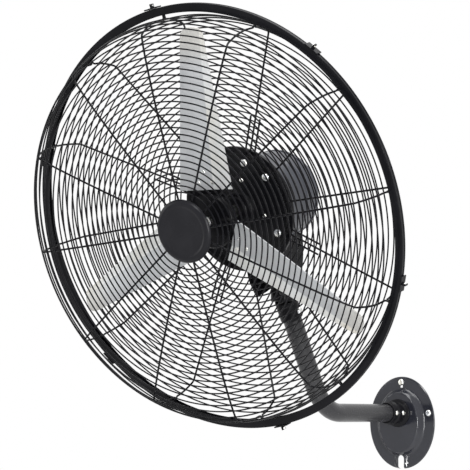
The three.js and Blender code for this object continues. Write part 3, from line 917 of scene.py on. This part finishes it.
hoop = {
    "inner": 398,
    "outer": 413.9,
    "front": 91,
    "back": 102,
    "sheet": 1.5,
    "groove": 0.9,
    "rim": 404,
    "rimInset": 3.25,
}
cage = {
    "ribs": 12,
    "firstRib": 4,
    "wire": 1.45,
    "rib": 1.9,
    "rimWire": 1.6,
    "footWire": 2.2,
    "pitch": 12.2,
    "sidePitch": 15,
    "sideRadius": 391,
    "ringSides": 168,
}
frontCage = {"first": 74, "last": 367, "hidden": 48, "side": [(373, 13), (384.5, 36), (390.5, 60)]}
rearCage = {
    "first": 136,
    "last": 372,
    "foot": 116,
    "coneFrom": (130, 181),
    "coneTo": (374, 154),
    "side": [(383, 136), (389.5, 116)],
}
frontRim = hoop["front"] + hoop["rimInset"]
rearRim = hoop["back"] - hoop["rimInset"]
fixings = {"every": 3, "offset": 3, "aside": 10.5, "from": 112, "to": 196, "inside": 3.4}


def dome(radius):
    # nearly flat in the middle, falling away towards the shoulder
    return 2 + 3 * (radius / 400) ** 2 + 12 * (radius / 400) ** 6


def cone(radius):
    (startRadius, start), (endRadius, end) = rearCage["coneFrom"], rearCage["coneTo"]
    return start - (start - end) * (radius - startRadius) / (endRadius - startRadius)


def sideLine(corners, rim):
    return rounded([*corners, (cage["sideRadius"], rim)], 6, 4)


def stationsAlong(line, spacing, first, last):
    # places at equal steps along a line, between two distances from its start
    places = []
    travelled = 0
    wanted = first
    for start, end in zip(line, line[1:]):
        length = (end - start).length
        while wanted <= travelled + length and wanted <= last:
            places.append(start.lerp(end, (wanted - travelled) / length))
            wanted += spacing
        travelled += length
    return places


def ringWire(radius, along, wire):
    section = []
    for k in range(8):
        turn = 2 * math.pi * k / 8
        section.append((radius + wire * math.cos(turn), along + wire * math.sin(turn)))
    return turned(section, cage["ringSides"], True)


def guardForms(line, rings, inward, rimAlong):
    # rings lie outside the ribs, and the ribs turn out into the hoop
    forms = [ringWire(radius, along, cage["wire"]) for radius, along in rings]
    forms.append(ringWire(hoop["rim"] + 3, rimAlong, cage["rimWire"]))
    shift = (cage["wire"] + cage["rib"]) * 0.85 * inward
    ribLine = [(radius - 0.6, along + shift) for radius, along in line[:-1]]
    ribLine += [(cage["sideRadius"] - 1, rimAlong), (hoop["rim"] + 2, rimAlong)]
    for k in range(cage["ribs"]):
        angle = cage["firstRib"] + 360 / cage["ribs"] * k
        path = [fromAxis(radius, angle, along) for radius, along in rounded(ribLine, 5, 3)]
        forms.append(wireAlong(path, cage["rib"], 10))
    return forms


def frontGuard():
    count = round((frontCage["last"] - frontCage["first"]) / cage["pitch"])
    rings = []
    for k in range(count + 1):
        radius = frontCage["first"] + (frontCage["last"] - frontCage["first"]) * k / count
        rings.append((radius, dome(radius)))
    side = sideLine(frontCage["side"], frontRim)
    rings += [tuple(place) for place in stationsAlong(side, cage["sidePitch"], 10, 62)]
    face = [(radius, dome(radius)) for radius in range(frontCage["hidden"], 368, 16)]
    forms = guardForms([*face, *side], rings, 1, frontRim)
    makePiece("frontGuardWires", forms, "cage", "head", ["front_guard"])


def rearGuard():
    count = round((rearCage["last"] - rearCage["first"]) / cage["pitch"])
    rings = []
    for k in range(count + 1):
        radius = rearCage["first"] + (rearCage["last"] - rearCage["first"]) * k / count
        rings.append((radius, cone(radius)))
    side = sideLine([rearCage["coneTo"], *rearCage["side"]], rearRim)
    rings += [tuple(place) for place in stationsAlong(side, cage["sidePitch"], 12, 48)]
    forms = guardForms([(rearCage["foot"], 184), rearCage["coneFrom"], *side], rings, -1, rearRim)
    forms.append(ringWire(rearCage["foot"], 183, cage["footWire"]))
    for k in range(fixings["offset"] - 1, cage["ribs"], fixings["every"]):
        angle = cage["firstRib"] + 360 / cage["ribs"] * k
        for aside in (-fixings["aside"], fixings["aside"]):
            path = []
            for radius in (fixings["from"], (fixings["from"] + fixings["to"]) / 2, fixings["to"]):
                path.append(turnedTo(angle) @ Vector((radius, cone(radius) - fixings["inside"], aside)))
            forms.append(wireAlong(path, cage["rib"], 10))
    makePiece("rearGuardWires", forms, "cage", "head", ["rear_guard"])


frontGuard()
rearGuard()

# hoop, clips and hub cap

clip = {
    "angles": [46, 97, 159, 220, 280, 340],
    "wide": 30,
    "wrap": 2.4,
    "ear": 10,
    "earThick": 3,
    "screw": 3.4,
}


def hoopBand():
    inner, outer, front, back, sheet = (hoop[key] for key in ("inner", "outer", "front", "back", "sheet"))
    middle = (front + back) / 2
    grooved = outer - hoop["groove"]
    line = [
        (inner, front),
        (outer, front),
        (outer, middle - 3),
        (grooved, middle - 2),
        (grooved, middle + 2),
        (outer, middle + 3),
        (outer, back),
        (inner, back),
        (inner, back - sheet),
        (grooved - sheet, back - sheet),
        (grooved - sheet, front + sheet),
        (inner, front + sheet),
    ]
    channel = turned(rounded(line, 1.2, 3, True), 256, True)
    makePiece("hoopChannel", channel, "cage", "head", ["guard_band"])


def bandClip(index, angle):
    front, back = hoop["front"], hoop["back"]
    middle = (front + back) / 2
    over = hoop["outer"] + gap
    depth = back - front
    forms = [
        block((clip["wrap"], depth + 5, clip["wide"]), (over + clip["wrap"] / 2 + 0.1, middle, 0)),
        block((clip["ear"], depth - 1, clip["earThick"]), (over + clip["ear"] / 2, middle, 0)),
    ]
    ring = cutter(over, front - 10, back + 10, 512)
    turn = turnedTo(angle)
    forms = [placed(form, turn) for form in forms]
    name = f"bandClip{index + 1}"
    makePiece(name, forms, "cage", "head", [f"band_clip_{index + 1}"], holes=[ring], bevel=0.5, fused=True)
    across = turn @ Vector((0, 0, -1))
    place = fromAxis(over + clip["ear"] - clip["screw"] - 0.2, angle, middle)
    place -= across * (clip["earThick"] / 2 + gap)
    sizes = {"radius": clip["screw"], "height": 2.4, "shank": 1.7, "length": 5}
    screw(f"clipScrew{index + 1}", f"clip_screw_{index + 1}", place, across, "head", **sizes)


cap = {
    "face": [(0, -5.6), (46, -5.8), (50, -7), (54.5, -7), (58.5, -4.8), (61, -1), (61, 0.4), (0, 0.4)],
    "clamp": [(0, 4.2), (56, 4.2), (56, 6.4), (0, 6.4)],
}


def hubCap():
    makePiece("hubCapMoulding", turned(rounded(cap["face"], 1.2, 4), 128), "cap", "head", ["hub_cap"])
    makePiece("capClampPlate", turned(rounded(cap["clamp"], 0.6, 2), 96), "frame", "head", ["cap_plate"])


hoopBand()
for index, angle in enumerate(clip["angles"]):
    bandClip(index, angle)
hubCap()
print("cage made")

# rotor: blades, hub, shaft end and nut

hub = {
    "radius": 54,
    "front": 80,
    "thick": 10,
    "sleeve": 42,
    "bore": 9.4,
    "armFrom": 30,
    "armReach": 104,
    "armHalf": 31,
    "armThick": 3,
    "armBehind": 6,
}
rivets = [(76, -14), (76, 14), (96, 2)]  # distance out along the blade, and across it
shaft = {
    "ahead": 18,
    "radius": 8.7,
    "neck": 5.4,
    "back": 337,
    "turns": 14,
    "threadFoot": 5.0,
    "threadCrest": 5.75,
}
nut = {"radius": 11, "from": -9.3, "to": -0.5, "bore": 6.1}


def pitchAt(radius):
    share = (radius - blade["root"]) / (blade["tip"] - blade["root"])
    return math.radians(blade["pitchRoot"] + (blade["pitchTip"] - blade["pitchRoot"]) * share)


def onBlade(radius, across, lift):
    # a place on a blade along +x: across its chord, and lifted off its middle line
    pitch = pitchAt(radius)
    along = hub["front"] + 5 - across * math.sin(pitch) + lift * math.cos(pitch)
    return Vector((radius, along, across * math.cos(pitch) + lift * math.sin(pitch)))


def chordAt(radius):
    share = (radius - blade["root"]) / (blade["tip"] - blade["root"])
    half = (blade["rootChord"] + (blade["tipChord"] - blade["rootChord"]) * share) / 2
    corner = blade["tipRound"]
    into = radius - (blade["tip"] - corner)
    if into > 0:
        half -= corner - math.sqrt(max(corner * corner - into * into, 0))
    return half


def bladeLift(across, half):
    # a shallow hollow, then a lip folded along the trailing side
    hollow = -half * 0.11 * (1 - (across / half) ** 2)
    return hollow - blade["foldTurn"] * max(blade["fold"] - across, 0)


def pitchedSheet(stations, lines, thick, behind):
    # two skins through the same stations, closed at their edges
    rows = len(stations)
    columns = len(lines(stations[0]))
    points = []
    for skin in (0, thick):
        for radius in stations:
            for across, lift in lines(radius):
                points.append(onBlade(radius, across, lift + behind + skin))
    size = rows * columns
    faces = []
    for k in range(rows - 1):
        for c in range(columns - 1):
            a = k * columns + c
            near = [a, a + 1, a + columns + 1, a + columns]
            faces.append(near)
            faces.append([size + index for index in reversed(near)])
    rim = list(range(columns))
    rim += [k * columns + columns - 1 for k in range(1, rows)]
    rim += [(rows - 1) * columns + c for c in range(columns - 2, -1, -1)]
    rim += [k * columns for k in range(rows - 2, 0, -1)]
    for a, b in zip(rim, rim[1:] + rim[:1]):
        faces.append([a, b, size + b, size + a])
    return points, faces


def bladeStations():
    # evenly out to the rounded tip, then closer together round it
    start = blade["tip"] - blade["tipRound"]
    plain = [blade["root"] + (start - blade["root"]) * k / 28 for k in range(29)]
    turnedOff = [start + blade["tipRound"] * math.sin(math.radians(9 * k)) for k in range(1, 10)]
    return plain + turnedOff + [blade["tip"] - 0.05]


def bladeLines(radius):
    half = chordAt(radius)
    fold = max(blade["fold"], -half * 0.9)
    stations = [-half + (fold + half) * k / 4 for k in range(4)] + [fold - 0.4, fold + 0.4]
    stations += [fold + (half - fold) * k / 9 for k in range(1, 10)]
    return [(across, bladeLift(across, half)) for across in stations]


def fanBlade(index, angle):
    sheet = pitchedSheet(bladeStations(), bladeLines, blade["thick"], -blade["thick"] - gap)
    piece = makePiece(
        f"bladeSheet{index + 1}",
        placed(sheet, turnedTo(angle)),
        "blade",
        "rotor",
        [f"blade_{index + 1}"],
        bevel=0.4,
    )
    inverse = (headFrame @ turnedTo(angle)).inverted()
    run = piece.data.attributes.new("bladeRun", "FLOAT", "POINT")
    across = piece.data.attributes.new("bladeAcross", "FLOAT", "POINT")
    for vertex in piece.data.vertices:
        place = inverse @ vertex.co
        run.data[vertex.index].value = place.x
        across.data[vertex.index].value = place.z
    for k, (radius, offset) in enumerate(rivets):
        pitch = pitchAt(radius)
        lift = bladeLift(offset, chordAt(radius)) - blade["thick"] - 0.4
        outward = Vector((0, -math.cos(pitch), -math.sin(pitch)))
        stand = turnedTo(angle) @ pointing(onBlade(radius, offset, lift), outward)
        crown = [(0, 1.8), (2.4, 1.6), (4, 0.9), (4.6, 0), (4.6, -0.3), (3, -0.3), (3, -9), (0, -9)]
        makePiece(f"bladeRivet{index + 1}{'abc'[k]}", placed(turned(crown, 24), stand), "zinc", "rotor")


def armLines(radius):
    # the hub's arms are as wide all along
    return [(hub["armHalf"] * share, 0) for share in (-1, -0.5, 0, 0.5, 1)]


def bladeHub():
    radii = [hub["armFrom"] + (hub["armReach"] - hub["armFrom"]) * k / 6 for k in range(7)]
    sheet = pitchedSheet(radii, armLines, hub["armThick"], hub["armBehind"])
    front, radius, back = hub["front"], hub["radius"], hub["front"] + hub["thick"] + 6
    end = front + hub["sleeve"]
    line = [(0, front), (radius - 4, front), (radius, front + 4), (radius, back), (20, back)]
    line += [(18, end), (0, end)]
    forms = [turned(rounded(line, 1.6, 3), 96)]
    forms += [placed(sheet, turnedTo(angle)) for angle in blade["angles"]]
    bore = cutter(hub["bore"], front - 10, front + 60, 40)
    makePiece("bladeHubSpider", forms, "frame", "rotor", ["blade_hub"], holes=[bore], bevel=0.5, fused=True)


def shaftEnd():
    front, step = hub["front"] - shaft["ahead"], hub["front"] + 2
    thread = [(0, front), (4.6, front)]
    pitch = (step - front - 1) / shaft["turns"]
    for k in range(shaft["turns"]):
        start = front + 0.5 + pitch * k
        thread += [(shaft["threadFoot"], start), (shaft["threadCrest"], start + pitch * 0.5)]
    radius, back = shaft["radius"], shaft["back"]
    line = [*thread, (shaft["neck"], step), (radius, step), (radius, back), (0, back)]
    makePiece("motorShaftTurned", turned(line, 40), "steel", "rotor", ["motor_shaft"], crease=25)
    blank = hexagon(nut["radius"], hub["front"] + nut["from"], hub["front"] + nut["to"])
    hole = cutter(nut["bore"], front, step, 32)
    makePiece("hubNutZinc", blank, "zinc", "rotor", ["hub_nut"], holes=[hole], bevel=0.3)


for index, angle in enumerate(blade["angles"]):
    fanBlade(index, angle)
bladeHub()
shaftEnd()
print("rotor made")

# the solids that stay as they are, inside the motor and the neck

inside = {
    "swivel_stud": "zinc",
    "stator_core": "steel",
    "winding_front": "copper",
    "winding_rear": "copper",
    "bearing_front": "steel",
    "bearing_rear": "steel",
    "capacitor": "plastic",
    "rotor_core": "steel",
}
for node, finish in inside.items():
    materials = frame["nodes"][node].data.materials
    materials.clear()
    materials.append(finishes[finish].material)

# floor, light and camera

studio = {
    "floor": -0.9,
    "floorSize": 7,
    "floorTone": (0.8, 0.8, 0.8),
    "worldLight": 0.8,
    "aim": (0, -0.45, 0.3),
    "lamps": [  # name, place, width, height and power
        ("keyLamp", (1.2, -3.4, 3.2), 1.6, 1.6, 100),
        ("fillLamp", (-3.2, -2.4, 0.8), 1.4, 2.2, 20),
        ("stripLamp", (3.1, -2.2, 0.1), 0.35, 2.0, 90),
        ("topLamp", (0.3, -0.2, 3.2), 2.4, 2.0, 60),
    ],
}
camera = {
    "place": (2.2492, -3.7352, 0.0063),
    "pitch": 95.275,
    "turn": 35.818,
    "focalPixels": 2000,
    "frame": 470,
    "sensor": 36,
}


def makeFloor():
    size, level = studio["floorSize"] / 2, studio["floor"]
    mesh = bpy.data.meshes.new("paleFloor")
    corners = [(-size, -size, level), (size, -size, level), (size, size, level), (-size, size, level)]
    mesh.from_pydata(corners, [], [(0, 1, 2, 3)])
    pale = Finish("paleFloor", None, Base_Color=studio["floorTone"], Roughness=0.8)
    mesh.materials.append(pale.material)
    floor = bpy.data.objects.new("paleFloor", mesh)
    bpy.context.scene.collection.objects.link(floor)


def makeLamp(name, place, width, height, power):
    lamp = bpy.data.lights.new(name, "AREA")
    lamp.shape = "RECTANGLE"
    lamp.size = width
    lamp.size_y = height
    lamp.energy = power
    stand = bpy.data.objects.new(name, lamp)
    stand.location = place
    aim = Vector(studio["aim"]) - Vector(place)
    stand.rotation_euler = aim.to_track_quat("-Z", "Y").to_euler()
    bpy.context.scene.collection.objects.link(stand)


def makeWorld():
    # white where it is seen straight, in a gloss or through glass, and softer as a light
    world = bpy.data.worlds.new("studioWorld")
    world.use_nodes = True
    bpy.context.scene.world = world
    nodes, links = world.node_tree.nodes, world.node_tree.links
    background = nodes["Background"]
    ray = nodes.new("ShaderNodeLightPath")
    seen = ray.outputs["Is Camera Ray"]
    for kind in ("Is Glossy Ray", "Is Transmission Ray"):
        either = nodes.new("ShaderNodeMath")
        either.operation = "MAXIMUM"
        links.new(seen, either.inputs[0])
        links.new(ray.outputs[kind], either.inputs[1])
        seen = either.outputs[0]
    level = nodes.new("ShaderNodeMapRange")
    level.inputs["To Min"].default_value = studio["worldLight"]
    level.inputs["To Max"].default_value = 1.0
    links.new(seen, level.inputs["Value"])
    background.inputs["Color"].default_value = (1, 1, 1, 1)
    links.new(level.outputs["Result"], background.inputs["Strength"])


def makeCamera():
    data = bpy.data.cameras.new("photoCamera")
    data.sensor_width = camera["sensor"]
    data.lens = camera["focalPixels"] / camera["frame"] * data.sensor_width
    stand = bpy.data.objects.new("photoCamera", data)
    stand.location = camera["place"]
    stand.rotation_euler = (math.radians(camera["pitch"]), 0, math.radians(camera["turn"]))
    bpy.context.scene.collection.objects.link(stand)
    bpy.context.scene.camera = stand


makeFloor()
for lamp in studio["lamps"]:
    makeLamp(*lamp)
makeWorld()
makeCamera()
bpy.context.scene.view_settings.view_transform = "Standard"
print("studio made")
